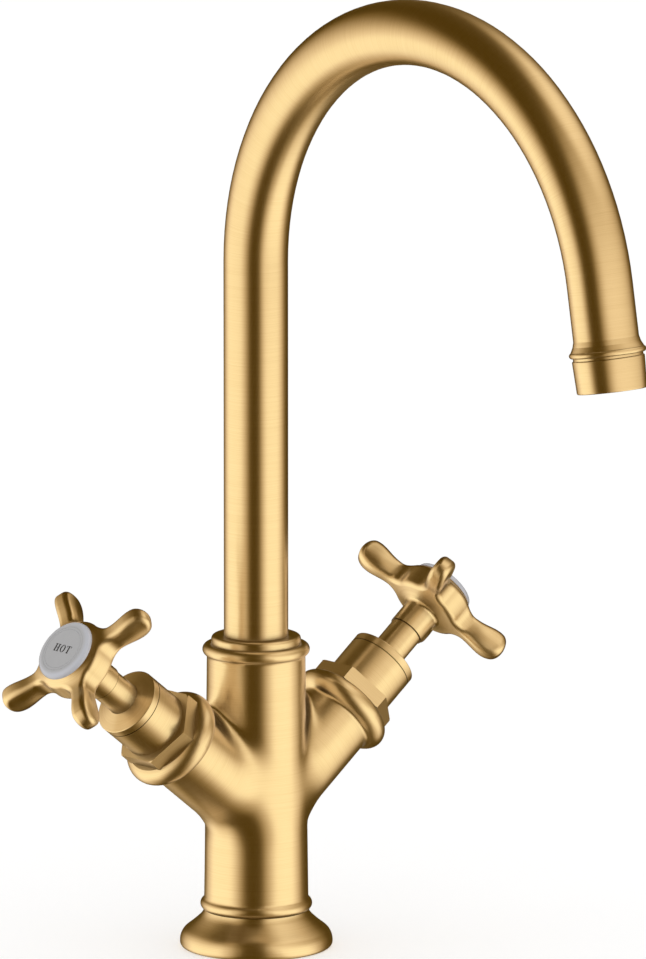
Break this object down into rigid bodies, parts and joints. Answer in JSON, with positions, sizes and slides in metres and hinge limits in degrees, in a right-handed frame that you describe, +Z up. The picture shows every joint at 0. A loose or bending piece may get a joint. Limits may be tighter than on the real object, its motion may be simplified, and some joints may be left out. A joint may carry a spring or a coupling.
{
  "type": "two-handle basin mixer",
  "caption": "Deck-mounted basin mixer in brushed gold with a high swivel swan-neck spout, raised side arms, turning cross handles and porcelain index discs.",
  "frame": {"origin": "centre of the foot on the deck surface, on the axis of the body column", "axes": "+Z up along the body column and the riser of the spout, -Y to the front along the spout towards the outlet, -X to the hot arm and +X to the cold arm"},
  "size_m": [0.1916, 0.2212, 0.3906],
  "materials": {
    "brushed_gold": "fine brushed, satin gold-coloured surface",
    "plain_brass": "plain turned brass",
    "stainless": "turned or stamped stainless steel",
    "black_rubber": "matt",
    "plastic": "matt moulded",
    "valve_ceramic": "lapped",
    "porcelain": "glossy glaze with a fine ring line"
  },
  "bodies": {
    "base": {"base_flange": "brushed_gold", "base_seal": "black_rubber", "body": "brushed_gold", "mounting_stud": "stainless", "deck_gasket": "black_rubber", "deck_washer": "stainless", "stud_nut": "plain_brass", "spout_collar": "brushed_gold", "spout_bush": "plastic", "spout_thrust_washer": "plastic", "spout_grub_screw": "stainless", "hot_valve_body": "brushed_gold", "hot_bonnet": "brushed_gold", "hot_gland_cap": "brushed_gold", "hot_seat_seal": "black_rubber", "hot_fixed_disc": "valve_ceramic", "cold_valve_body": "brushed_gold", "cold_bonnet": "brushed_gold", "cold_gland_cap": "brushed_gold", "cold_seat_seal": "black_rubber", "cold_fixed_disc": "valve_ceramic"},
    "spout": {"spout_tube": "brushed_gold", "spout_spigot": "plain_brass", "spout_orings": "black_rubber", "outlet_collar": "brushed_gold", "aerator_housing": "brushed_gold", "aerator_seal": "black_rubber", "aerator_insert": "plastic", "aerator_screen": "stainless"},
    "hot_turning_group": {"hot_handle": "brushed_gold", "hot_handle_screw": "stainless", "hot_index_cap": "porcelain", "hot_stem_sleeve": "brushed_gold", "hot_spindle": "plain_brass", "hot_spindle_oring": "black_rubber", "hot_spindle_circlip": "stainless", "hot_turning_disc": "valve_ceramic"},
    "cold_turning_group": {"cold_handle": "brushed_gold", "cold_handle_screw": "stainless", "cold_index_cap": "porcelain", "cold_stem_sleeve": "brushed_gold", "cold_spindle": "plain_brass", "cold_spindle_oring": "black_rubber", "cold_spindle_circlip": "stainless", "cold_turning_disc": "valve_ceramic"}
  },
  "joints": [
    {"name": "spout_swivel", "type": "hinge", "parent": "base", "child": "spout", "pos_m": [0, 0, 0.09], "axis": [0, 0, 1], "range_deg": [-60, 60]},
    {"name": "hot_turn", "type": "hinge", "parent": "base", "child": "hot_turning_group", "pos_m": [0, 0, 0.04745], "axis": [-0.7837, 0, 0.6211], "range_deg": [0, 90]},
    {"name": "cold_turn", "type": "hinge", "parent": "base", "child": "cold_turning_group", "pos_m": [0, 0, 0.04745], "axis": [0.7837, 0, 0.6211], "range_deg": [0, 90]}
  ]
}
